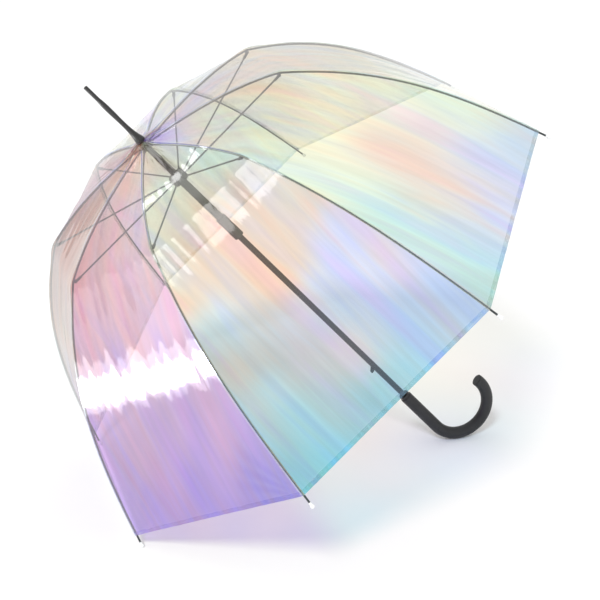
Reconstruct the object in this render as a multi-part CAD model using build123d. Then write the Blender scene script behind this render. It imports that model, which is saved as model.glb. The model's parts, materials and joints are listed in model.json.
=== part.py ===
from build123d import *
import math
import os

os.makedirs("parts", exist_ok=True)

# Lengths are in mm and angles in degrees. The umbrella is drawn with its shaft on Z, the crown at z = 0, the
# ferrule up and the mirror plane at y = 0. The last step lays it down on two rib tips and the hook.

# frame
RIBS = 8
STEP = 360 / RIBS
HALF_STEP = STEP / 2

# shaft, ferrule and handle
SHAFT_R = 4.75
SHAFT_WALL = 0.6
SHAFT_TOP = 5.5
FERRULE_TIP = 112.7
FERRULE_TIP_R = 3.1
FERRULE_TIP_LENGTH = 27.0
FERRULE_BASE = -2.4
FERRULE_BASE_R = 7.6
GLUE_GAP = 0.04
HANDLE_TOP = -637.0
HANDLE_R = 10.0
HANDLE_STRAIGHT = 87.0
HOOK_R = 52.0
HOOK_TURN = 190.0
SHAFT_IN_HANDLE = 50.0
BORE_ROOM = 0.5
COLLAR_R = 8.6
COLLAR_LENGTH = 5.0
END_CAP_R = 8.2
END_CAP_DEPTH = 1.6

# crown notch, the slotted ring that the ribs hang on
CROWN_PIVOT_R = 9.5
CROWN_PIVOT_Z = -12.0
NOTCH_R = 12.2
NOTCH_TOP = -7.0
NOTCH_BOTTOM = -17.0
NOTCH_SLOT = 3.1
NOTCH_SLOT_FLOOR = 7.4
WIRE_R = 0.5
WIRE_GROOVE_R = 0.55

# rib, from the crown to the stretcher joint, the flex point and the tip
JOINT_R = 224.0
JOINT_Z = -52.0
JOINT_DROP = 3.4
INNER_ROD_R = 1.4
ROD_R = 1.5
EYE_R = 1.7
EYE_WIDTH = 2.7
EYE_HOLE_R = 0.65
INNER_END = (225.7, -49.0)
INNER_CURVE = [(10.9, -12.0), (70.0, -13.0), (160.0, -22.0), INNER_END]
OUTER_CURVE = [INNER_END, (350.0, -139.0), (398.4, -238.7), (458.5, -381.5)]
FLEX_AT = 0.504
KNOB_R = 1.58
SOCKET_R = 1.65
LUG_WIDTH = 2.4
LUG_R = 1.7
LUG_OUTLINE = [(-2.4, -1.7), (0.9, -1.45), (1.2, 2.8), (-2.9, 4.8)]
BALL_R = 3.1
BALL_NECK_R = 1.95
BALL_NECK_LENGTH = 5.0
BALL_FROM_END = 1.5
BALL_POCKET = 1.8

# stretcher
STRETCHER_R = 1.3
FORK_GAP = 2.6
FORK_PLATE = 0.9
FORK_LENGTH = 9.0
FORK_EYE_R = 1.7
RIVET_R = 0.6
RIVET_HOLE_R = 0.65
RIVET_HEAD_R = 1.1
RIVET_HEAD = 0.4
STRETCHER_EYE_R = 1.5
STRETCHER_EYE_WIDTH = 2.6

# runner
HUB_PIVOT_R = 11.2
HUB_PIVOT_Z = -83.0
HUB_R = 13.0
HUB_TOP = -76.0
HUB_BOTTOM = -90.0
HUB_ROOF = 3.0
HUB_SLOT = 3.0
HUB_SLOT_FLOOR = 8.2
HUB_MOUTH_FLOOR = 9.5
SLEEVE_IN_R = 4.83
SLEEVE_R = 6.3
SLEEVE_TOP = -75.0
SLEEVE_BOTTOM = -216.0
GRIP_R = 8.3
GRIP_TOP = -176.0
GRIP_BOTTOM = -219.0
STOP_BEAD_Z = -73.2
STOP_BEAD_R = 0.8

# bottom catch and its window
RUNNER_TRAVEL = 362.2
WINDOW_Z = -194.0
WINDOW_HALF_LENGTH = 8.0
WINDOW_WIDTH = 3.8
CATCH_Z = WINDOW_Z - RUNNER_TRAVEL
CATCH_WIDTH = 2.2
CATCH_OUT_R = 11.0
CATCH_BAR = 0.8
CATCH_BAR_X = 3.5
CATCH_PIVOT_X = 3.0
CATCH_PIVOT_UP = 28.0
CATCH_TOOTH_UP = 8.0
CATCH_FOOT = 2.0
CATCH_NOSE = [(-1.5, -4.0), (0.0, -2.5), (0.0, 0.5)]
CATCH_SLOT_UP = 12.0
CATCH_SLOT_DOWN = 6.0
CATCH_EYE_R = 0.85
CATCH_PIN_R = 0.4
CATCH_HOLE_R = 0.45
CATCH_SLOT_WIDTH = 3.0

# canopy
FILM = 0.3
FILM_OFF_ROD = 2.4
FILM_OFF_JOINT = 3.0
FILM_START = [(5.4, -3.5), (16.0, -5.4), (36.0, -9.0)]
HEM_AT = 0.916
SEAM_GAP = 0.12
ROSETTE_R = 17.0
ROSETTE_THICK = 0.3


def at(r, z):
    """A point of the rib plane at radius r and height z."""
    return (r, 0, z)


def curve(points):
    """The Bezier curve of these four control points, in the rib plane."""
    return Bezier(*[at(r, z) for r, z in points])


def split_curve(points, u):
    """The control points of the two halves of a Bezier curve cut at u."""
    rows = [points]
    while len(rows[-1]) > 1:
        last = rows[-1]
        rows.append([tuple(p * (1 - u) + q * u for p, q in zip(a, b)) for a, b in zip(last, last[1:])])
    return [row[0] for row in rows], [row[-1] for row in reversed(rows)]


MID_CURVE, END_CURVE = split_curve(OUTER_CURVE, FLEX_AT)


def rod(line, radius):
    """A round bar along a line."""
    section = Plane(origin=line @ 0, z_dir=line % 0) * Circle(radius)
    return sweep(section, path=line)


def knob(line):
    """The ball on the far end of a bar, for the next piece's socket."""
    end = line @ 1
    return Pos(end.X, 0, end.Z) * Sphere(KNOB_R)


def cross_pin(r, z, radius, width):
    """A cylinder across the rib plane."""
    return Pos(r, 0, z) * Rot(90, 0, 0) * Cylinder(radius, width)


def tube(radius, inside, low, high):
    """A tube on the shaft's axis."""
    middle = (low + high) / 2
    return Pos(0, 0, middle) * (Cylinder(radius, high - low) - Cylinder(inside, high - low + 1))


def radial_slots(width, floor_r, out_r, low, high):
    """One box for each rib, from floor_r outwards."""
    length = out_r - floor_r
    box = Pos(floor_r + length / 2, 0, (low + high) / 2) * Box(length, width, high - low)
    return [Rot(0, 0, HALF_STEP + k * STEP) * box for k in range(RIBS)]


def direction(angle):
    """The unit vector of the rib plane at an angle above the horizontal."""
    return math.cos(math.radians(angle)), math.sin(math.radians(angle))


def rib_inner():
    """The stiff inner rib: an eye for the crown wire, a bar, and a lug for the stretcher's rivet."""
    line = curve(INNER_CURVE)
    bar = rod(line, INNER_ROD_R) + knob(line)
    eye = cross_pin(CROWN_PIVOT_R, CROWN_PIVOT_Z, EYE_R, EYE_WIDTH)
    back = Plane.XZ * Polygon(*[(JOINT_R + r, JOINT_Z + z) for r, z in LUG_OUTLINE], align=None)
    lug = extrude(back, LUG_WIDTH / 2, both=True)
    lug += cross_pin(JOINT_R, JOINT_Z, LUG_R, LUG_WIDTH)
    body = bar + eye + lug
    body -= cross_pin(CROWN_PIVOT_R, CROWN_PIVOT_Z, EYE_HOLE_R, EYE_WIDTH + 1)
    body -= cross_pin(JOINT_R, JOINT_Z, RIVET_HOLE_R, LUG_WIDTH + 1)
    return body


def rib_part(points):
    """A springy piece of rib, with a socket at its inner end."""
    start_r, start_z = points[0]
    socket = Pos(start_r, 0, start_z) * Sphere(SOCKET_R)
    return rod(curve(points), ROD_R) - socket


def rib_tip():
    """The ball cap on the rib's end, with a neck that the bar is glued into."""
    line = curve(END_CURVE)
    place = Plane(origin=line @ 1, z_dir=line % 1)
    ball = Pos(0, 0, BALL_FROM_END) * Sphere(BALL_R)
    neck = Pos(0, 0, -BALL_NECK_LENGTH / 2) * Cylinder(BALL_NECK_R, BALL_NECK_LENGTH)
    pocket = Pos(0, 0, BALL_POCKET - BALL_NECK_LENGTH) * Cylinder(ROD_R + GLUE_GAP, 2 * BALL_NECK_LENGTH)
    return place * (ball + neck - pocket)


def stretcher():
    """The straight strut: an eye for the runner's slot, a bar, and a fork with its rivet for the rib's lug."""
    length = math.hypot(JOINT_R - HUB_PIVOT_R, JOINT_Z - HUB_PIVOT_Z)
    tilt = math.degrees(math.atan2(JOINT_Z - HUB_PIVOT_Z, JOINT_R - HUB_PIVOT_R))
    bar_end = length - FORK_LENGTH
    bar = Pos(bar_end / 2, 0, 0) * Rot(0, 90, 0) * Cylinder(STRETCHER_R, bar_end)
    eye = Rot(90, 0, 0) * Cylinder(STRETCHER_EYE_R, STRETCHER_EYE_WIDTH)
    width = FORK_GAP + 2 * FORK_PLATE
    plates = Pos(length - FORK_LENGTH / 2, 0, 0) * Box(FORK_LENGTH, width, 2 * STRETCHER_R)
    plates += Pos(bar_end - 1, 0, 0) * Box(3, width, 2 * STRETCHER_R)
    plates += Pos(length, 0, 0) * Rot(90, 0, 0) * Cylinder(FORK_EYE_R, width)
    room = Pos(length + 1, 0, 0) * Box(2 * FORK_LENGTH - 4, FORK_GAP, 6)
    rivet = Pos(length, 0, 0) * Rot(90, 0, 0) * Cylinder(RIVET_R, width + 2 * RIVET_HEAD)
    heads = Pos(length, 0, 0) * Rot(90, 0, 0) * Cylinder(RIVET_HEAD_R, width + 2 * RIVET_HEAD)
    heads -= Pos(length, 0, 0) * Box(6, width - 0.1, 6)
    made = bar + eye + (plates - room) + rivet + heads
    return Pos(HUB_PIVOT_R, 0, HUB_PIVOT_Z) * Rot(0, -tilt, 0) * made


def crown_notch():
    """The slotted ring under the canopy's middle."""
    ring = tube(NOTCH_R, SHAFT_R + GLUE_GAP, NOTCH_BOTTOM, NOTCH_TOP)
    for slot in radial_slots(NOTCH_SLOT, NOTCH_SLOT_FLOOR, NOTCH_R + 1, NOTCH_BOTTOM - 1, NOTCH_TOP + 1):
        ring -= slot
    groove = Pos(0, 0, CROWN_PIVOT_Z) * Torus(CROWN_PIVOT_R, WIRE_GROOVE_R)
    mouth = tube(NOTCH_R + 1, CROWN_PIVOT_R, CROWN_PIVOT_Z - WIRE_GROOVE_R, CROWN_PIVOT_Z + WIRE_GROOVE_R)
    return ring - groove - mouth


def crown_wire():
    """The wire ring that the rib eyes are threaded on."""
    return Pos(0, 0, CROWN_PIVOT_Z) * Torus(CROWN_PIVOT_R, WIRE_R)


def runner_hub():
    """The slotted head of the runner. Its slots are open below and, outside a small roof, above as well."""
    ring = tube(HUB_R, SLEEVE_R + GLUE_GAP, HUB_BOTTOM, HUB_TOP)
    for slot in radial_slots(HUB_SLOT, HUB_SLOT_FLOOR, HUB_R + 1, HUB_BOTTOM - 1, HUB_TOP - HUB_ROOF):
        ring -= slot
    mouth = radial_slots(HUB_SLOT, HUB_MOUTH_FLOOR, HUB_R + 1, HUB_BOTTOM, HUB_TOP + 1)
    for slot in mouth:
        ring -= slot
    return ring


def window(out_r):
    """The room for the catch through the runner's wall."""
    return Pos(out_r / 2, 0, WINDOW_Z) * Box(out_r, WINDOW_WIDTH, 2 * WINDOW_HALF_LENGTH)


def runner_sleeve():
    """The long tube that slides on the shaft."""
    return tube(SLEEVE_R, SLEEVE_IN_R, SLEEVE_BOTTOM, SLEEVE_TOP) - window(SLEEVE_R + 2)


def runner_grip():
    """The thicker hand grip on the runner's lower end."""
    body = tube(GRIP_R, SLEEVE_R + GLUE_GAP, SLEEVE_BOTTOM, GRIP_TOP)
    body += tube(GRIP_R, SLEEVE_IN_R, GRIP_BOTTOM, SLEEVE_BOTTOM - GLUE_GAP)
    body += tube(GRIP_R, SLEEVE_R + GLUE_GAP, SLEEVE_BOTTOM - 1, SLEEVE_BOTTOM) - tube(
        SLEEVE_R + GLUE_GAP, SLEEVE_IN_R, SLEEVE_BOTTOM - 1, SLEEVE_BOTTOM
    )
    return body - window(GRIP_R + 2)


def shaft():
    """The hollow shaft, with a bead above the runner, a slot for the catch and the catch's pin."""
    low = HANDLE_TOP - SHAFT_IN_HANDLE
    body = tube(SHAFT_R, SHAFT_R - SHAFT_WALL, low, SHAFT_TOP)
    bead = Pos(0, 0, STOP_BEAD_Z) * Torus(SHAFT_R, STOP_BEAD_R)
    bead -= Pos(0, 0, STOP_BEAD_Z) * Cylinder(SHAFT_R - SHAFT_WALL / 2, 4)
    slot_length = CATCH_SLOT_UP + CATCH_SLOT_DOWN
    slot_middle = CATCH_Z + (CATCH_SLOT_UP - CATCH_SLOT_DOWN) / 2
    slot = Pos(SHAFT_R, 0, slot_middle) * Box(SHAFT_R, CATCH_SLOT_WIDTH, slot_length)
    pin = cross_pin(CATCH_PIVOT_X, CATCH_Z + CATCH_PIVOT_UP, CATCH_PIN_R, 2 * (SHAFT_R - SHAFT_WALL) - 2)
    return body + bead - slot + pin


def bottom_catch():
    """The sprung tooth that holds the runner down when the umbrella is shut, on a bar inside the shaft."""
    top = CATCH_Z + CATCH_PIVOT_UP
    foot = CATCH_Z - CATCH_FOOT
    bar = Pos(CATCH_BAR_X, 0, (top + foot) / 2) * Box(CATCH_BAR, CATCH_WIDTH, top - foot)
    outline = [(CATCH_BAR_X, CATCH_Z + CATCH_TOOTH_UP), (CATCH_BAR_X, foot)]
    outline += [(CATCH_OUT_R + x, CATCH_Z + z) for x, z in CATCH_NOSE]
    tooth = extrude(Plane.XZ * Polygon(*outline, align=None), CATCH_WIDTH / 2, both=True)
    eye = cross_pin(CATCH_PIVOT_X, top, CATCH_EYE_R, CATCH_WIDTH)
    hole = cross_pin(CATCH_PIVOT_X, top, CATCH_HOLE_R, CATCH_WIDTH + 1)
    return bar + tooth + eye - hole


def ferrule():
    """The spike on top: a flared foot, a tapered neck and a straight round-ended tip."""
    tip_low = FERRULE_TIP - FERRULE_TIP_LENGTH
    line = Spline(
        at(FERRULE_BASE_R, 1.0),
        at(6.3, 5.5),
        at(5.0, 12.0),
        at(4.1, 20.0),
        at(3.7, 45.0),
        at(FERRULE_TIP_R, tip_low),
    )
    edges = [
        Line(at(0, FERRULE_BASE), at(FERRULE_BASE_R, FERRULE_BASE)),
        Line(at(FERRULE_BASE_R, FERRULE_BASE), at(FERRULE_BASE_R, 1.0)),
        line,
        Line(at(FERRULE_TIP_R, tip_low), at(FERRULE_TIP_R, FERRULE_TIP)),
        Line(at(FERRULE_TIP_R, FERRULE_TIP), at(0, FERRULE_TIP)),
        Line(at(0, FERRULE_TIP), at(0, FERRULE_BASE)),
    ]
    body = revolve(make_face(edges), Axis.Z)
    body = fillet(body.edges().filter_by(GeomType.CIRCLE).sort_by(Axis.Z)[-1], 1.6)
    pocket = Pos(0, 0, (FERRULE_BASE + SHAFT_TOP) / 2) * Cylinder(
        SHAFT_R + GLUE_GAP, SHAFT_TOP - FERRULE_BASE + 0.2
    )
    return body - pocket


def handle_line():
    """The middle line of the J handle."""
    low = HANDLE_TOP - HANDLE_STRAIGHT
    straight = Line(at(0, HANDLE_TOP), at(0, low))
    half = math.radians(HOOK_TURN / 2)
    full = math.radians(HOOK_TURN)
    middle = at(-HOOK_R + HOOK_R * math.cos(half), low - HOOK_R * math.sin(half))
    end = at(-HOOK_R + HOOK_R * math.cos(full), low - HOOK_R * math.sin(full))
    return straight, ThreePointArc(at(0, low), middle, end)


def handle():
    """The J handle, with its bore for the shaft and a seat for the end cap."""
    straight, hook = handle_line()
    body = rod(straight, HANDLE_R) + rod(hook, HANDLE_R)
    rims = body.edges().filter_by(GeomType.CIRCLE)
    rims = [e for e in rims if e.length > HANDLE_R * 6 and e.is_closed]
    top = max(rims, key=lambda e: e.center().Z)
    body = fillet(top, 2.0)
    seat = Plane(origin=hook @ 1, z_dir=hook % 1)
    body -= seat * Pos(0, 0, -END_CAP_DEPTH / 2) * Cylinder(END_CAP_R + GLUE_GAP, END_CAP_DEPTH + 0.1)
    bore = Cylinder(SHAFT_R + GLUE_GAP, 2 * (SHAFT_IN_HANDLE + BORE_ROOM))
    return body - Pos(0, 0, HANDLE_TOP) * bore


def handle_end_cap():
    """The round plug in the hook's open end."""
    _, hook = handle_line()
    seat = Plane(origin=hook @ 1, z_dir=hook % 1)
    plug = Cylinder(END_CAP_R, END_CAP_DEPTH + 0.6)
    plug = fillet(plug.edges().sort_by(Axis.Z)[-1], 0.6)
    return seat * Pos(0, 0, 0.3 - END_CAP_DEPTH / 2) * plug


def handle_collar():
    """The trim ring where the shaft enters the handle."""
    ring = tube(COLLAR_R, SHAFT_R + GLUE_GAP, HANDLE_TOP + GLUE_GAP, HANDLE_TOP + COLLAR_LENGTH)
    return chamfer(ring.edges().filter_by(GeomType.CIRCLE).sort_by(Axis.Z)[-1], 1.5)


def crown_rosette():
    """The gathered film ring under the ferrule's foot."""
    low_in = FERRULE_BASE - 0.45
    low_out = FERRULE_BASE - 2.3
    section = Plane.XZ * Polygon(
        (SHAFT_R + 0.2, low_in),
        (ROSETTE_R, low_out),
        (ROSETTE_R, low_out + ROSETTE_THICK),
        (SHAFT_R + 0.2, low_in + ROSETTE_THICK),
        align=None,
    )
    return revolve(section, Axis.Z)


def film_points(offset):
    """Points of the canopy's profile over a rib, from the crown to the hem, offset from the rib's middle line."""
    found = [(r, z + offset - FILM_OFF_ROD) for r, z in FILM_START]
    spans = [(INNER_CURVE, 0.36, 0.92, 4), (MID_CURVE, 0.0, 1.0, 7), (END_CURVE, 0.17, HEM_AT, 5)]
    for points, first, last, count in spans:
        line = curve(points)
        for k in range(count):
            u = first + (last - first) * k / (count - 1)
            place = line @ u
            along = line % u
            away = offset + (FILM_OFF_JOINT - FILM_OFF_ROD if points is MID_CURVE and k == 0 else 0)
            found.append((place.X - along.Z * away, place.Z + along.X * away))
    return found


def gore():
    """One film panel: flat across from rib to rib, and curved from crown to hem."""
    flat = math.cos(math.radians(HALF_STEP))
    inner = [at(r * flat, z) for r, z in film_points(FILM_OFF_ROD)]
    outer = [at(r * flat, z) for r, z in film_points(FILM_OFF_ROD + FILM)]
    edges = [Spline(*inner), Line(inner[-1], outer[-1]), Spline(*outer), Line(outer[0], inner[0])]
    half_width = inner[-1][0] * math.tan(math.radians(HALF_STEP)) + 5
    strip = extrude(make_face(edges), half_width, dir=(0, 1, 0), both=True)
    reach = 520.0
    side = reach * math.tan(math.radians(HALF_STEP))
    wedge = Polygon((SEAM_GAP, 0), (reach, -side), (reach, side), align=None)
    return strip & Pos(0, 0, -420) * extrude(wedge, 440)


def lean():
    """How far the shaft tips over when it lies on two rib tips and the hook, and how high the crown then is."""
    line = curve(END_CURVE)
    end = line @ 1 + (line % 1) * BALL_FROM_END
    out = end.X * math.cos(math.radians(HALF_STEP))
    drop = -end.Z
    hook_z = HANDLE_STRAIGHT - HANDLE_TOP
    a = hook_z - drop
    b = out + HOOK_R
    slope = math.atan2(b, a) - math.asin((HOOK_R + HANDLE_R - BALL_R) / math.hypot(a, b))
    height = out * math.cos(slope) + drop * math.sin(slope) + BALL_R
    return 90 - math.degrees(slope), height


LEAN, CROWN_HEIGHT = lean()


def laid(shape):
    """Lays a shape down as the umbrella rests, with the crown over the origin."""
    return Pos(0, 0, CROWN_HEIGHT) * Rot(0, LEAN, 0) * shape


def turned(shape, index):
    """A rib's shape at the place of rib number index."""
    return Rot(0, 0, HALF_STEP + index * STEP) * shape


once = {
    "shaft": shaft(),
    "ferrule": ferrule(),
    "crown_notch": crown_notch(),
    "crown_wire": crown_wire(),
    "crown_rosette": crown_rosette(),
    "runner_hub": runner_hub(),
    "runner_sleeve": runner_sleeve(),
    "runner_grip": runner_grip(),
    "bottom_catch": bottom_catch(),
    "handle": handle(),
    "handle_collar": handle_collar(),
    "handle_end_cap": handle_end_cap(),
}
each = {
    "rib_inner": rib_inner(),
    "rib_mid": rib_part(MID_CURVE) + knob(curve(MID_CURVE)),
    "rib_end": rib_part(END_CURVE),
    "rib_tip": rib_tip(),
    "stretcher": stretcher(),
}
panel = gore()

parts = {name: laid(shape) for name, shape in once.items()}
for index in range(RIBS):
    for name, shape in each.items():
        parts[f"{name}_{index + 1}"] = laid(turned(shape, index))
    parts[f"canopy_gore_{index + 1}"] = laid(Rot(0, 0, index * STEP) * panel)

boxes = [shape.bounding_box() for shape in parts.values()]
shift = -(min(b.min.X for b in boxes) + max(b.max.X for b in boxes)) / 2
for name, shape in parts.items():
    export_step(Pos(shift, 0, 0) * shape, f"parts/{name}.step")
print("lean", round(LEAN, 5), "crown height", round(CROWN_HEIGHT, 5), "shift", round(shift, 5))
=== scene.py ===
import json
import math

import bpy
import numpy as np
from mathutils import Matrix, Vector
from mathutils.bvhtree import BVHTree

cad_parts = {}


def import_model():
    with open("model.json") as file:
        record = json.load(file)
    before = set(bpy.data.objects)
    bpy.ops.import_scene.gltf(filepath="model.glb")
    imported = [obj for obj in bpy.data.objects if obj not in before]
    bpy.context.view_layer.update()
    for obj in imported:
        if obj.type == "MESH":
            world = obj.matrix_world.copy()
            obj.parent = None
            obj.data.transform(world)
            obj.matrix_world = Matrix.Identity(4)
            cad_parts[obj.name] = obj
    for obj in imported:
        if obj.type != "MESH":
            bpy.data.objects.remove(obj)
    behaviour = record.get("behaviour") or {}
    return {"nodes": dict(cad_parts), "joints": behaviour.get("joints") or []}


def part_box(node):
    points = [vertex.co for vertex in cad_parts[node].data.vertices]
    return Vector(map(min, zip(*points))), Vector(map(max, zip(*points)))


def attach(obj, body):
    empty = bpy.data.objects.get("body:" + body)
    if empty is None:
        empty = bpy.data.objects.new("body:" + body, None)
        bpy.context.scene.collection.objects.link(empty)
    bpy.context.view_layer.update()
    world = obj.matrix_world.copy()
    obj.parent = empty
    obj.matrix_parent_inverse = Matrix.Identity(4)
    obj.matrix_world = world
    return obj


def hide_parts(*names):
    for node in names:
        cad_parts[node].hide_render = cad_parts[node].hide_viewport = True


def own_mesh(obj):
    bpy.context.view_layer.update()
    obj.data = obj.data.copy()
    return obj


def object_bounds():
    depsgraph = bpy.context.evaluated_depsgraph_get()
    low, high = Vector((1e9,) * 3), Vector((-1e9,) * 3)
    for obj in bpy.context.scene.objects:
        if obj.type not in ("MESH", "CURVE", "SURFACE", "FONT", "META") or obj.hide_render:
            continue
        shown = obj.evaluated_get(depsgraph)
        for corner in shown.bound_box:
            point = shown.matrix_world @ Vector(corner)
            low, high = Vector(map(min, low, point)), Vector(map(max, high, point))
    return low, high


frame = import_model()
cad_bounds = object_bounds()
MM = 0.001

# The umbrella's own directions, from its joints: the shaft's line, and one direction for each rib.
RIBS = 8
joints = {joint["name"]: joint for joint in frame["joints"]}
UP = -np.array(joints["runner_slide"]["axis"], float)
UP /= np.linalg.norm(UP)
PIVOTS = [np.array(joints[f"rib_fold_{k + 1}"]["pos_m"], float) for k in range(RIBS)]
CROWN = sum(PIVOTS) / RIBS


def unit(vector):
    return vector / np.linalg.norm(vector)


RIB_OUT = [unit(p - CROWN) for p in PIVOTS]
GORE_OUT = [unit(RIB_OUT[k - 1] + RIB_OUT[k]) for k in range(RIBS)]
HALF_STEP = math.pi / RIBS
FLAT = math.cos(HALF_STEP)

# canopy mesh
PROFILE_POINTS = 900
CELLS_ACROSS = 56
ROWS = {"crown": 46, "side": 44, "hem": 40}
BODIES = {"crown": "rib", "side": "rib_mid", "hem": "rib_end"}
SEAM_HALF = 2.4 * MM
SEAM_RAISE = 0.35 * MM
SEAM_START = 18.0 * MM
SEAM_CELLS = 5
SEAM_WIDEST = 0.6
HEM_BAND = 7.0 * MM
HEM_INSET = 0.35 * MM
HEM_ROWS = 5
PANEL_UV_STEP = 1.7

# film relief: the sag, and ripples given as seed, count, lengths across and lengths along in metres
SAG = 2.5 * MM
CROWN_TAUT = 160.0 * MM
HEM_TAUT = 80.0 * MM
LONG_RIPPLES = (11, 9, (0.035, 0.12), (0.25, 0.9))
LONG_HEIGHT = 0.42 * MM
FINE_RIPPLES = (51, 10, (0.012, 0.03), (0.08, 0.4))
FINE_HEIGHT = 0.16 * MM
PLEAT_REACH = 85.0 * MM
PLEAT_HEIGHT = 0.9 * MM
FAN_REACH = 70.0 * MM
FAN_HEIGHT = 0.8 * MM
FAN_FOLDS = 19
RELIEF_START = 12.0 * MM


# ---------------------------------------------------------------- canopy shape
def cad_profile():
    """The canopy's section halfway between two ribs, read from a CAD panel: arc length, radius and height."""
    node = frame["nodes"]["canopy_gore_3"]
    corners = [v.co.copy() for v in node.data.vertices]
    tree = BVHTree.FromPolygons(corners, [tuple(p.vertices) for p in node.data.polygons])
    out = GORE_OUT[2]
    inside = CROWN - UP * 0.14

    def hit(angle):
        away = Vector(out * math.cos(angle) + UP * math.sin(angle))
        return tree.ray_cast(Vector(inside) + away * 2.0, -away)[0]

    def limit(good, bad):
        for _ in range(40):
            middle = (good + bad) / 2
            good, bad = (middle, bad) if hit(middle) else (good, middle)
        return good

    top = limit(math.radians(60), math.radians(90))
    low = limit(math.radians(0), math.radians(-60))
    found = []
    for k in range(PROFILE_POINTS + 1):
        spot = hit(top + (low - top) * k / PROFILE_POINTS)
        if spot:
            away = np.array(spot) - CROWN
            found.append((away @ out, away @ UP))
    found = np.array(found)
    steps = np.hypot(*np.diff(found, axis=0).T)
    length = np.concatenate([[0.0], np.cumsum(steps)])
    return length, found[:, 0], found[:, 1]


LENGTH, RADIUS, HEIGHT = cad_profile()
HEM_AT = LENGTH[-1]


def station(joint):
    """How far along the profile the film lies nearest to a rib's joint."""
    away = np.array(joints[joint]["pos_m"], float) - CROWN
    gap = np.hypot(RADIUS / FLAT - away @ RIB_OUT[0], HEIGHT - away @ UP)
    return LENGTH[np.argmin(gap)]


ENDS = {
    "crown": (0.0, station("rib_flex_1")),
    "side": (station("rib_flex_1"), station("rib_end_flex_1")),
    "hem": (station("rib_end_flex_1"), HEM_AT),
}


def waves(gore, ripples, x, s):
    """A smooth random surface of ripples, about one high, over x across a panel and s along it."""
    seed, count, across, along = ripples
    chance = np.random.default_rng(seed + gore)
    total = np.zeros(np.broadcast(x, s).shape)
    for _ in range(count):
        u = chance.uniform(*across) * chance.choice((-1, 1))
        v = chance.uniform(*along)
        total = total + np.sin(2 * math.pi * (x / u + s / v) + chance.uniform(0, 2 * math.pi))
    return total / math.sqrt(count)


def film_lift(gore, t, s, width):
    """How far the film stands off the flat panel: a slight sag, ripples along it, pleats at the crown."""
    x = t * width
    free = np.clip(1 - t * t, 0, 1)
    held = np.clip(free * 3, 0, 1)
    along = np.clip(s / CROWN_TAUT, 0, 1) * np.clip((HEM_AT - s) / HEM_TAUT, 0.25, 1)
    lift = -SAG * free * along
    lift = lift + LONG_HEIGHT * held * along * waves(gore, LONG_RIPPLES, x, s)
    lift = lift + FINE_HEIGHT * held * waves(gore, FINE_RIPPLES, x, s)
    near_crown = np.clip(1 - s / PLEAT_REACH, 0, 1) ** 1.5
    pleats = np.sin(t * math.pi * 7 + 1.3 * gore) + 0.6 * np.sin(t * math.pi * 12.3 + 2.1 * gore + 30 * s)
    lift = lift + PLEAT_HEIGHT * near_crown * held * pleats * np.clip(s / RELIEF_START, 0, 1)
    for side in (-1, 1):
        turn = np.arctan2((1 - side * t) * width + 1e-6, HEM_AT - s + 1e-6)
        reach = np.hypot((1 - side * t) * width, HEM_AT - s)
        fan = np.exp(-reach / FAN_REACH) * np.clip(reach / RELIEF_START, 0, 1)
        lift = lift + FAN_HEIGHT * fan * np.sin(turn * FAN_FOLDS + gore * 1.7 + side) * held
    return lift


def film_place(gore, t, s, offset=0.0):
    """Points of one panel at t from -1 to 1 across it and s along it, lifted along the panel's own normals."""
    r = np.interp(s, LENGTH, RADIUS)
    z = np.interp(s, LENGTH, HEIGHT)
    dr = np.interp(s + MM, LENGTH, RADIUS) - np.interp(s - MM, LENGTH, RADIUS)
    dz = np.interp(s + MM, LENGTH, HEIGHT) - np.interp(s - MM, LENGTH, HEIGHT)
    size = np.hypot(dr, dz) + 1e-12
    out = GORE_OUT[gore]
    side = np.cross(UP, out)
    width = r * math.tan(HALF_STEP)
    normal = (-dz / size)[..., None] * out + (dr / size)[..., None] * UP
    lift = film_lift(gore, t, s, width) + offset
    place = CROWN + r[..., None] * out + z[..., None] * UP + (t * width)[..., None] * side
    return place + lift[..., None] * normal


def grid_normals(points):
    """Normals of a grid of points, pointing out of the canopy."""
    along = np.gradient(points, axis=0)
    across = np.gradient(points, axis=1)
    normal = np.cross(along, across)
    normal /= np.linalg.norm(normal, axis=2, keepdims=True) + 1e-12
    outward = points - (CROWN - UP * 0.25)
    flip = np.sign(np.sum(normal * outward, axis=2, keepdims=True))
    return normal * flip


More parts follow.
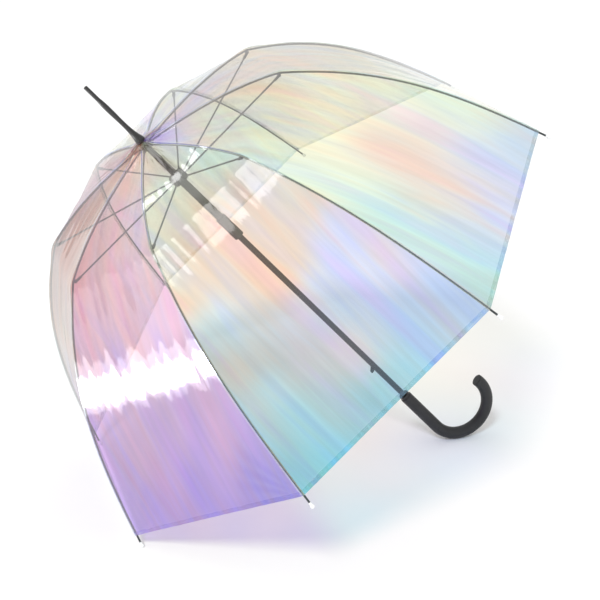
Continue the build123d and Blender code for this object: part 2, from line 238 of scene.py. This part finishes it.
# ---------------------------------------------------------------- canopy colours
# Tints of each panel from the crown to the hem, as left, middle and right of its width, in screen colours.
PALETTE = {
    1: [("dcc4cc", "d8b8b8", "e0c8c4"), ("dcb0a8", "dcb4ac", "e4ccc4"), ("e0cabc", "dcd0c8", "dccccc"),
        ("dee0ea", "dcd4ec", "d8cdec"), ("dccdea", "d8c8ea", "d4c6ea")],
    2: [("e8cac4", "ecccc0", "f0d0c4"), ("f0c8d8", "f2cede", "eed6e0"), ("f4c4e0", "f2cae2", "ecc8ea"),
        ("e2bcf0", "debaf0", "d6b8f2"), ("ccaaf4", "c4a6f4", "ac9cf4")],
    3: [("ecccc6", "d8d4c8", "dccad8"), ("eef2e4", "e4ecdc", "dce8de"), ("f2e0d4", "f4dcd0", "e8dcdc"),
        ("d0eefa", "e6e8f8", "dcdcfa"), ("acecff", "b8e6ff", "ccdcff")],
    4: [("d4c0ec", "d0b2f0", "d4c0e0"), ("eee8dc", "f0ead0", "eedccc"), ("eef6e4", "fff8de", "fcf6e4"),
        ("c8eef0", "f4dcd6", "e8f2e2"), ("bce8ee", "dcdcf4", "ccdcf4")],
    5: [("d0b0f0", "d8c0f0", "e4d6d0"), ("ecdcd8", "f2e2dc", "f4e8e2"), ("f6ecdf", "f6e6de", "f4ece6"),
        ("f0f2e6", "f4ecdf", "f6eee6"), ("eef4f6", "f4f6f6", "f6f6f4")],
    6: [("eee4e8", "f2e8e6", "f0ece2"), ("f2e6e6", "f4ecec", "f2f0e8"), ("eef0f0", "f4eef2", "f4eeea"),
        ("e6f0f4", "eeeaf6", "f2eaf2"), ("e2eef8", "e8e6f8", "eee6f6")],
    7: [("ecdfe8", "eee2e4", "f0e8e0"), ("f0e6ea", "f2eaec", "f2f0e8"), ("e8f0f0", "f0eef2", "f4ecea"),
        ("e0f0f2", "eaeaf6", "f2e8f2"), ("e0ecf8", "e6e2f8", "eee4f6")],
    8: [("e6dcd8", "dcb8c8", "cca0b4"), ("e8dcdc", "d0a8c0", "c094a8"), ("e4d0ca", "dcc0c4", "dcb8b0"),
        ("f0ece8", "ece6ea", "e8dedf"), ("eee8f0", "eae2f0", "e6def0")],
}


# How deep each panel's tint is, its milky haze, and how far its colours wander along and across it.
TINT_DEPTH = {1: 1.3, 2: 1.25, 3: 1.2, 4: 1.1, 5: 1.1, 6: 0.6, 7: 0.6, 8: 1.3}
FILM_HAZE = 0.05
CROWN_HAZE = 0.12
CROWN_REACH = 80.0 * MM
DRIFT_RIPPLES = (91, 6, (0.09, 0.3), (0.12, 0.5))
DRIFT_ACROSS = 0.10
DRIFT_ALONG = 0.6


def linear(code):
    """A screen colour such as "ecd0c4" as linear red, green and blue."""
    screen = [int(code[i:i + 2], 16) / 255 for i in (0, 2, 4)]
    return [c / 12.92 if c <= 0.04045 else ((c + 0.055) / 1.055) ** 2.4 for c in screen]


def tint(gore, t, s):
    """The film's colour at points of one panel, blended between its palette's rows and columns."""
    rows = np.array([[linear(c) for c in row] for row in PALETTE[gore + 1]])
    x = t * np.interp(s, LENGTH, RADIUS) * math.tan(HALF_STEP)
    swing = DRIFT_ACROSS * waves(gore, DRIFT_RIPPLES, x, s)
    v = np.clip(s / HEM_AT + swing * DRIFT_ALONG, 0, 1) * (len(rows) - 1)
    u = np.clip(t + swing, -1, 1) + 1
    row = np.clip(v.astype(int), 0, len(rows) - 2)
    column = np.clip(u.astype(int), 0, 1)
    a, b = (v - row)[..., None], (u - column)[..., None]
    a, b = a * a * (3 - 2 * a), b * b * (3 - 2 * b)
    first = rows[row, column] * (1 - b) + rows[row, column + 1] * b
    second = rows[row + 1, column] * (1 - b) + rows[row + 1, column + 1] * b
    colour = (first * (1 - a) + second * a) ** TINT_DEPTH[gore + 1]
    return with_haze(colour, FILM_HAZE + CROWN_HAZE * np.exp(-s / CROWN_REACH))


def with_haze(colour, haze):
    """Colours with their share of milky haze as a fourth value."""
    return np.concatenate([colour, np.broadcast_to(haze, colour.shape[:-1])[..., None]], -1)


# ---------------------------------------------------------------- materials
class Nodes:
    """A small helper that adds nodes to a material and links them."""

    def __init__(self, name):
        self.material = bpy.data.materials.new(name)
        self.material.use_nodes = True
        self.tree = self.material.node_tree
        self.tree.nodes.clear()
        self.out = self.tree.nodes.new("ShaderNodeOutputMaterial")

    def add(self, kind, inputs=None, **settings):
        node = self.tree.nodes.new("ShaderNode" + kind)
        for key, value in settings.items():
            setattr(node, key, value)
        for key, value in (inputs or {}).items():
            if isinstance(value, bpy.types.NodeSocket):
                self.tree.links.new(value, node.inputs[key])
            else:
                node.inputs[key].default_value = value
        return node

    def noise(self, vector, scale, detail=4.0, rough=0.55, distortion=0.0):
        made = self.add("TexNoise", {"Vector": vector, "Scale": scale, "Detail": detail,
                                     "Roughness": rough, "Distortion": distortion})
        return made.outputs["Fac"]

    def ramp(self, value, low, high, first, last):
        """value mapped from low..high to first..last, held inside them."""
        made = self.add("MapRange", {"Value": value, "From Min": low, "From Max": high,
                                     "To Min": first, "To Max": last})
        return made.outputs["Result"]

    def colours(self, value, stops):
        made = self.add("ValToRGB", {"Fac": value})
        bar = made.color_ramp
        while len(bar.elements) > 1:
            bar.elements.remove(bar.elements[-1])
        for index, (place, colour) in enumerate(stops):
            step = bar.elements[0] if index == 0 else bar.elements.new(place)
            step.position = place
            step.color = (*colour, 1.0)
        return made.outputs["Color"]

    def multiply(self, share, first, second):
        """first tinted by a share of second."""
        made = self.add("Mix", {"Factor": share, 6: first, 7: second}, data_type="RGBA", blend_type="MULTIPLY")
        return made.outputs[2]

    def bump(self, height, strength, distance):
        made = self.add("Bump", {"Height": height, "Strength": strength, "Distance": distance})
        return made.outputs["Normal"]

    def finish(self, shader):
        self.tree.links.new(shader, self.out.inputs["Surface"])
        return self.material


def stretched(n, source, scale):
    """A vector scaled differently along each axis."""
    return n.add("Mapping", {"Vector": source, "Scale": scale}).outputs["Vector"]


STREAK_SCALE = (75.0, 3.5, 1.0)
CLOUD_SCALE = (26.0, 3.0, 1.0)
FINE_SCALE = (260.0, 30.0, 1.0)
RAINBOW = [(0.30, "ffdfe4"), (0.41, "fff4d8"), (0.51, "f2fff0"), (0.61, "def0ff"), (0.74, "f0deff")]
RAINBOW_SHARE = 0.55
FILM_BUMP = (0.35, 0.6 * MM)
FILM_ROUGHNESS = 0.07
EDGE_GLOSS = 0.62
MOTTLE_GRAIN = 38.0
GRAIN_DEPTH = 0.05 * MM
COAT_ROUGHNESS = 0.08


def film_material(name, gloss):
    """Thin iridescent plastic film: tinted see-through, a trace of milky haze, and a wrinkled gloss."""
    n = Nodes(name)
    surface = n.add("UVMap", uv_map="film").outputs["UV"]
    paint = n.add("Attribute", attribute_name="tint")
    colour, haze = paint.outputs["Color"], paint.outputs["Alpha"]
    streaks = n.noise(stretched(n, surface, STREAK_SCALE), 1.0, 5.0, 0.6, 0.3)
    cloud = n.noise(stretched(n, surface, CLOUD_SCALE), 1.0, 3.0, 0.5, 0.5)
    fine = n.noise(stretched(n, surface, FINE_SCALE), 1.0, 4.0, 0.6)
    # neighbouring interference colours drift in and out along the streaks
    drift = n.colours(cloud, [(place, linear(code)) for place, code in RAINBOW])
    tinted = n.multiply(RAINBOW_SHARE, colour, drift)
    # the streaks lighten and darken the see-through tint, up past full strength: a painted sheen along the
    # wrinkles
    bright = n.ramp(streaks, 0.32, 0.68, 0.91, 1.05)
    lit = n.multiply(1.0, tinted, bright)
    height = n.add("Math", {0: streaks, 1: n.ramp(fine, 0.0, 1.0, 0.0, 0.22)}, operation="ADD").outputs[0]
    normal = n.bump(height, *FILM_BUMP)
    clear = n.add("BsdfTransparent", {"Color": lit})
    milky = n.add("BsdfDiffuse", {"Color": lit, "Normal": normal})
    shine = n.add("BsdfGlossy", {"Color": (1, 1, 1, 1), "Roughness": FILM_ROUGHNESS, "Normal": normal})
    body = n.add("MixShader", {"Fac": haze, 1: clear.outputs[0], 2: milky.outputs[0]})
    edge = n.add("LayerWeight", {"Blend": 0.35, "Normal": normal}).outputs["Facing"]
    share = n.ramp(edge, 0.0, 1.0, gloss, EDGE_GLOSS)
    both = n.add("MixShader", {"Fac": share, 1: body.outputs[0], 2: shine.outputs[0]})
    return n.finish(both.outputs[0])


def solid_material(name, colours, rough, metallic=0.0, grain=900.0, bump=0.05, coat=0.0, rough_swing=0.08):
    """A plastic, paint or metal with a fine mottled colour, uneven gloss and a fine surface."""
    n = Nodes(name)
    place = n.add("TexCoord").outputs["Object"]
    cloud = n.noise(stretched(n, place, (MOTTLE_GRAIN,) * 3), 1.0, 5.0, 0.6)
    fine = n.noise(stretched(n, place, (grain,) * 3), 1.0, 3.0, 0.6)
    first, second = (linear(c) for c in colours)
    colour = n.colours(cloud, [(0.3, first), (0.7, second)])
    roughness = n.ramp(fine, 0.3, 0.7, max(0.02, rough - rough_swing), rough + rough_swing)
    normal = n.bump(fine, bump, GRAIN_DEPTH)
    shader = n.add("BsdfPrincipled", {"Base Color": colour, "Roughness": roughness, "Normal": normal})
    shader.inputs["Metallic"].default_value = metallic
    shader.inputs["Coat Weight"].default_value = coat
    shader.inputs["Coat Roughness"].default_value = COAT_ROUGHNESS
    return n.finish(shader.outputs[0])


FINISHES = {
    "shaft": dict(colours=("1c2523", "28322f"), rough=0.28, coat=0.5, grain=700),
    "ferrule": dict(colours=("0b0b0c", "151516"), rough=0.22, coat=0.8, grain=600),
    "crown_notch": dict(colours=("15181a", "20262a"), rough=0.35, grain=900),
    "crown_wire": dict(colours=("8d9296", "b3b8bc"), rough=0.25, metallic=1.0, grain=1500),
    "runner_hub": dict(colours=("2b3634", "394643"), rough=0.38, grain=800),
    "runner_sleeve": dict(colours=("2e3a38", "41504c"), rough=0.34, grain=800),
    "runner_grip": dict(colours=("323f3c", "45554f"), rough=0.4, grain=800),
    "bottom_catch": dict(colours=("3a3f42", "53595c"), rough=0.3, metallic=1.0, grain=1400),
    "handle": dict(colours=("1b1b1d", "262628"), rough=0.46, grain=1600, bump=0.16, rough_swing=0.06),
    "handle_collar": dict(colours=("121315", "1d1e20"), rough=0.3, grain=900),
    "handle_end_cap": dict(colours=("141416", "202022"), rough=0.4, grain=1400),
    "rib_inner": dict(colours=("4a5060", "666c80"), rough=0.3, metallic=0.4, grain=1200),
    "rib_mid": dict(colours=("20282a", "30393b"), rough=0.32, coat=0.3, grain=1000),
    "rib_end": dict(colours=("20282a", "30393b"), rough=0.32, coat=0.3, grain=1000),
    "rib_tip": dict(colours=("e2e6e6", "f4f6f6"), rough=0.16, coat=0.6, grain=900),
    "stretcher": dict(colours=("4a5058", "646a74"), rough=0.3, metallic=0.4, grain=1200),
}
finished = {name: solid_material(name + "_finish", **values) for name, values in FINISHES.items()}


def dress(node_name, material):
    node = frame["nodes"][node_name]
    node.data.materials.clear()
    node.data.materials.append(material)


for node_name in frame["nodes"]:
    kind = node_name.rstrip("0123456789").rstrip("_")
    if kind in finished:
        dress(node_name, finished[kind])

FILM = film_material("iridescent_film", gloss=0.045)
SEAM = film_material("welded_seam", gloss=0.10)
HEM = film_material("folded_hem", gloss=0.08)


# ---------------------------------------------------------------- pieces
def mesh_piece(name, grids, material):
    """One object from several grids of (points, normals, uv, colours)."""
    corners, faces, normals, uvs, tints = [], [], [], [], []
    base = 0
    for points, normal, uv, colour in grids:
        rows, columns = points.shape[:2]
        corners.append(points.reshape(-1, 3))
        normals.append(normal.reshape(-1, 3))
        uvs.append(uv.reshape(-1, 2))
        tints.append(colour.reshape(-1, 4))
        index = base + np.arange(rows * columns).reshape(rows, columns)
        quad = np.stack([index[:-1, :-1], index[1:, :-1], index[1:, 1:], index[:-1, 1:]], -1).reshape(-1, 4)
        faces.append(quad)
        base += rows * columns
    corners, faces, normals = np.concatenate(corners), np.concatenate(faces), np.concatenate(normals)
    uvs, tints = np.concatenate(uvs), np.concatenate(tints)
    a, b, c = (corners[faces[:, i]] for i in (0, 1, 2))
    wrong = np.sum(np.cross(b - a, c - a) * normals[faces[:, 0]], axis=1) < 0
    faces[wrong] = faces[wrong][:, ::-1]
    mesh = bpy.data.meshes.new(name)
    mesh.from_pydata(corners.tolist(), [], faces.tolist())
    mesh.update()
    layer = mesh.uv_layers.new(name="film")
    loops = np.empty(len(mesh.loops), int)
    mesh.loops.foreach_get("vertex_index", loops)
    layer.data.foreach_set("uv", uvs[loops].astype(np.float32).ravel())
    paint = mesh.color_attributes.new("tint", "FLOAT_COLOR", "POINT")
    paint.data.foreach_set("color", tints.astype(np.float32).ravel())
    mesh.polygons.foreach_set("use_smooth", np.ones(len(mesh.polygons), bool))
    mesh.normals_split_custom_set_from_vertices(normals.tolist())
    mesh.materials.append(material)
    made = bpy.data.objects.new(name, mesh)
    bpy.context.scene.collection.objects.link(made)
    return made


def follow(piece, part, k, gore):
    """The piece rides on a rib's body."""
    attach(piece, f"{BODIES[part]}_{k + 1}")
    s = np.linspace(*ENDS[part], 9)
    line = film_place(gore, np.full(9, 1.0 if gore == k else -1.0), s)
    along = unit(line[-1] - line[0])
    across = np.cross(UP, GORE_OUT[gore])
    across = unit(across - (across @ along) * along)
    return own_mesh(piece)


def half_gores(k):
    """The two half panels beside rib k: each panel's number and the t it runs over."""
    half = CELLS_ACROSS // 2
    t = np.linspace(-1, 1, CELLS_ACROSS + 1)
    return [(k, slice(half, None), t), ((k + 1) % RIBS, slice(0, half + 1), t)]


def film_uv(gore, t, s):
    """Flat coordinates on the film in metres, apart for each panel."""
    x = t * np.interp(s, LENGTH, RADIUS) * math.tan(HALF_STEP)
    return np.stack([x + gore * PANEL_UV_STEP, s], -1)


def film_grid(gore, part, cut, t):
    """A half panel's grid over one part of its length."""
    s = np.linspace(*ENDS[part], ROWS[part] + 1)
    tt, ss = np.meshgrid(t, s)
    points = film_place(gore, tt, ss)
    # the normals come from a grid that runs past both ends, so that neighbouring pieces agree
    step = s[1] - s[0]
    longer = np.clip(np.concatenate([[s[0] - step], s, [s[-1] + step]]), 0, HEM_AT)
    tl, sl = np.meshgrid(t, longer)
    normals = grid_normals(film_place(gore, tl, sl))[1:-1]
    uv = film_uv(gore, tt, ss)
    colour = tint(gore, tt, ss)
    return points[:, cut], normals[:, cut], uv[:, cut], colour[:, cut]


def strip_grid(gore, t_low, t_high, s):
    """A narrow raised strip of one panel between two lines given as t at each s."""
    share = np.linspace(0, 1, SEAM_CELLS + 1)
    t = t_low[:, None] * (1 - share) + t_high[:, None] * share
    ss = np.repeat(s[:, None], SEAM_CELLS + 1, 1)
    points = film_place(gore, t, ss, SEAM_RAISE)
    normals = grid_normals(points)
    return points, normals, film_uv(gore, t, ss), seam_colour(t, ss, share)


def seam_colour(t, s, share):
    """A clear weld whose outer edge carries a painted highlight: white and milky, strongest near the crown."""
    outer = 1 - share if t[0, 0] > 0 else share
    # the outermost fifth of the strip is painted white with extra haze: a painted highlight along the weld's
    # edge
    edge = np.broadcast_to(outer > 0.79, s.shape)
    near = np.clip(1 - s / ENDS["crown"][1], 0, 1)[..., None] ** 0.5
    cool = np.array(linear("b4aef6")) * near + np.array(linear("f0f8fc")) * (1 - near)
    painted_weld_highlight = np.array(linear("faffee"))
    colour = np.where(edge[..., None], painted_weld_highlight, cool)
    haze = np.where(edge, 0.30 + 0.35 * near[..., 0], 0.03)
    return with_haze(colour, haze)


def seam(k, part):
    """The welded seam over a rib: a narrow double strip, a little proud of the film."""
    low, high = ENDS[part]
    s = np.linspace(max(low, SEAM_START), high, ROWS[part] * 2)
    share = SEAM_HALF / (np.interp(s, LENGTH, RADIUS) * math.tan(HALF_STEP) + 1e-6)
    share = np.minimum(share, SEAM_WIDEST)
    one, two = k, (k + 1) % RIBS
    grids = [strip_grid(one, 1 - share, np.ones_like(s), s),
             strip_grid(two, -np.ones_like(s), -1 + share, s)]
    return mesh_piece(f"seam_{part}_{k + 1}", grids, SEAM)


def hem_band(name, gore, cut, t):
    """The turned and welded hem of half a panel."""
    s = np.linspace(HEM_AT - HEM_BAND, HEM_AT, HEM_ROWS)
    tt, ss = np.meshgrid(t, s)
    points = film_place(gore, tt, ss, -HEM_INSET)
    normals = grid_normals(points)
    uv = film_uv(gore, tt, ss)
    pale = tint(gore, tt, ss)
    pale[..., :3] = pale[..., :3] ** 0.2
    pale[..., 3] = 0.10
    return mesh_piece(name, [(points[:, cut], normals[:, cut], uv[:, cut], pale[:, cut])], HEM)


for k in range(RIBS):
    for part in ROWS:
        weld = seam(k, part)
        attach(weld, f"{BODIES[part]}_{k + 1}")
        for half, (gore, cut, t) in zip("ab", half_gores(k)):
            piece = mesh_piece(f"film_{part}_{k + 1}{half}", [film_grid(gore, part, cut, t)], FILM)
            follow(piece, part, k, gore)
            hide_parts(f"canopy_gore_{gore + 1}")
            with_it = [weld] if half == "a" else []
            if part == "hem":
                band = hem_band(f"hem_band_{k + 1}{half}", gore, cut, t)
                with_it.append(follow(band, part, k, gore))


# ---------------------------------------------------------------- crown ruffle
RUFFLE_INNER = 5.2 * MM
RUFFLE_RAISE = 0.9 * MM
RUFFLE_DROP = 1.9 * MM
RUFFLE_PLEAT = 0.8 * MM
RUFFLE_CELLS = (240, 9)


def crown_ruffle():
    """The gathered ring of film under the ferrule's foot."""
    low, high = (np.array(c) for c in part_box("crown_rosette"))
    middle = (low + high) / 2
    outer = np.linalg.norm(np.array(high - low)[1]) / 2
    inner = RUFFLE_INNER
    turns, rings = RUFFLE_CELLS
    angle = np.linspace(0, 2 * math.pi, turns + 1)
    share = np.linspace(0, 1, rings)
    aa, ss = np.meshgrid(angle, share)
    r = inner + (outer - inner) * ss
    pleat = np.sin(aa * 22 + 1.2 * np.sin(aa * 3)) * 0.8 + 0.4 * np.sin(aa * 37)
    height = -RUFFLE_DROP * ss + RUFFLE_PLEAT * ss * pleat
    one, two = GORE_OUT[0], np.cross(UP, GORE_OUT[0])
    points = middle + RUFFLE_RAISE * UP + (r * np.cos(aa))[..., None] * one + (r * np.sin(aa))[..., None] * two
    points = points + height[..., None] * UP
    normals = grid_normals(points)
    uv = np.stack([aa * 0.03, r], -1)
    colour = with_haze(np.broadcast_to(np.array(linear("e6ece2")), points.shape), 0.3)
    piece = mesh_piece("crown_ruffle", [(points, normals, uv, colour)], SEAM)
    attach(piece, "shaft_and_canopy")
    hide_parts("crown_rosette")


crown_ruffle()

# ---------------------------------------------------------------- studio
FLOOR_SIZE = 30.0
FLOOR_GAP = 0.2 * MM


def studio():
    floor_mesh = bpy.data.meshes.new("floor")
    half = FLOOR_SIZE / 2
    corners = [(-half, -half, 0), (half, -half, 0), (half, half, 0), (-half, half, 0)]
    floor_mesh.from_pydata(corners, [], [(0, 1, 2, 3)])
    floor = bpy.data.objects.new("floor", floor_mesh)
    floor.location.z = Vector(cad_bounds[0]).z - FLOOR_GAP
    n = Nodes("white_floor")
    place = n.add("TexCoord").outputs["Object"]
    cloud = n.noise(place, 3.0, 4.0)
    colour = n.colours(cloud, [(0.3, (0.90, 0.90, 0.90)), (0.7, (0.92, 0.92, 0.92))])
    shader = n.add("BsdfPrincipled", {"Base Color": colour, "Roughness": 0.8})
    floor_mesh.materials.append(n.finish(shader.outputs[0]))
    bpy.context.scene.collection.objects.link(floor)


def area_light(name, towards, direction, distance, size, size_y, power):
    """A soft rectangular light that looks at a point from a direction."""
    data = bpy.data.lights.new(name, "AREA")
    data.energy = power
    data.shape = "RECTANGLE"
    data.size = size
    data.size_y = size_y
    light = bpy.data.objects.new(name, data)
    away = Vector(direction).normalized()
    light.location = Vector(towards) + away * distance
    light.rotation_euler = (-away).to_track_quat("-Z", "Y").to_euler()
    bpy.context.scene.collection.objects.link(light)
    return light


def world(strength):
    made = bpy.data.worlds.new("studio")
    bpy.context.scene.world = made
    made.use_nodes = True
    background = made.node_tree.nodes["Background"]
    background.inputs["Color"].default_value = (1, 1, 1, 1)
    background.inputs["Strength"].default_value = strength


# Camera: place in metres, angles in degrees.
CAMERA_LENS = 85.2
CAMERA_AT = (0.5994, 1.9933, 1.1015)
CAMERA_YAW = -107.23
CAMERA_PITCH = 21.29
CAMERA_ROLL = -0.96


def camera():
    data = bpy.data.cameras.new("camera")
    data.lens = CAMERA_LENS
    data.sensor_width = 36.0
    made = bpy.data.objects.new("camera", data)
    yaw, pitch = math.radians(CAMERA_YAW), math.radians(CAMERA_PITCH)
    look = Vector((math.cos(pitch) * math.cos(yaw), math.cos(pitch) * math.sin(yaw), -math.sin(pitch)))
    turn = look.to_track_quat("-Z", "Y").to_matrix()
    roll = Matrix.Rotation(math.radians(CAMERA_ROLL), 3, "Z")
    made.matrix_world = Matrix.Translation(CAMERA_AT) @ (turn @ roll).to_4x4()
    bpy.context.scene.collection.objects.link(made)
    bpy.context.scene.camera = made


def sun(direction, strength, spread):
    """A distant soft light."""
    data = bpy.data.lights.new("sun", "SUN")
    data.energy = strength
    data.angle = math.radians(spread)
    light = bpy.data.objects.new("sun", data)
    light.rotation_euler = (-Vector(direction)).to_track_quat("-Z", "Y").to_euler()
    light.visible_glossy = False
    bpy.context.scene.collection.objects.link(light)


def card(name, towards, direction, distance, size, size_y, radiance):
    """A bright card that only shows in gloss."""
    power = radiance * math.pi * size * size_y
    light = area_light(name, towards, direction, distance, size, size_y, power)
    light.visible_camera = light.visible_diffuse = light.visible_transmission = False
    return light


WORLD_STRENGTH = 0.76
SUN_DIRECTION = (0.39, 0.58, 0.71)
SUN_STRENGTH = 2.1
SUN_SPREAD = 12
# Cards: height and reach of the lit spot and its panel, the card's direction, distance, sizes and radiance.
CARDS = {
    "window": (-0.165, 0.325, 1, (0.925, -0.12, -0.36), 0.45, 0.22, 0.085, 8.0),
    "window_glow": (-0.165, 0.325, 1, (0.925, -0.12, -0.33), 0.45, 0.30, 0.15, 1.4),
    "rib_patch": (-0.04, 0.17, 2, (0.48, -0.66, 0.56), 1.2, 0.14, 0.12, 2.0),
    "joint_patch": (-0.06, 0.22, 2, (0.61, 0.33, 0.72), 1.2, 0.20, 0.18, 3.0),
}

studio()
world(WORLD_STRENGTH)
sun(SUN_DIRECTION, SUN_STRENGTH, SUN_SPREAD)
for name, (height, reach, gore, *rest) in CARDS.items():
    card(name, CROWN + UP * height + GORE_OUT[gore] * reach, *rest)
camera()
bpy.context.scene.view_settings.view_transform = "Standard"
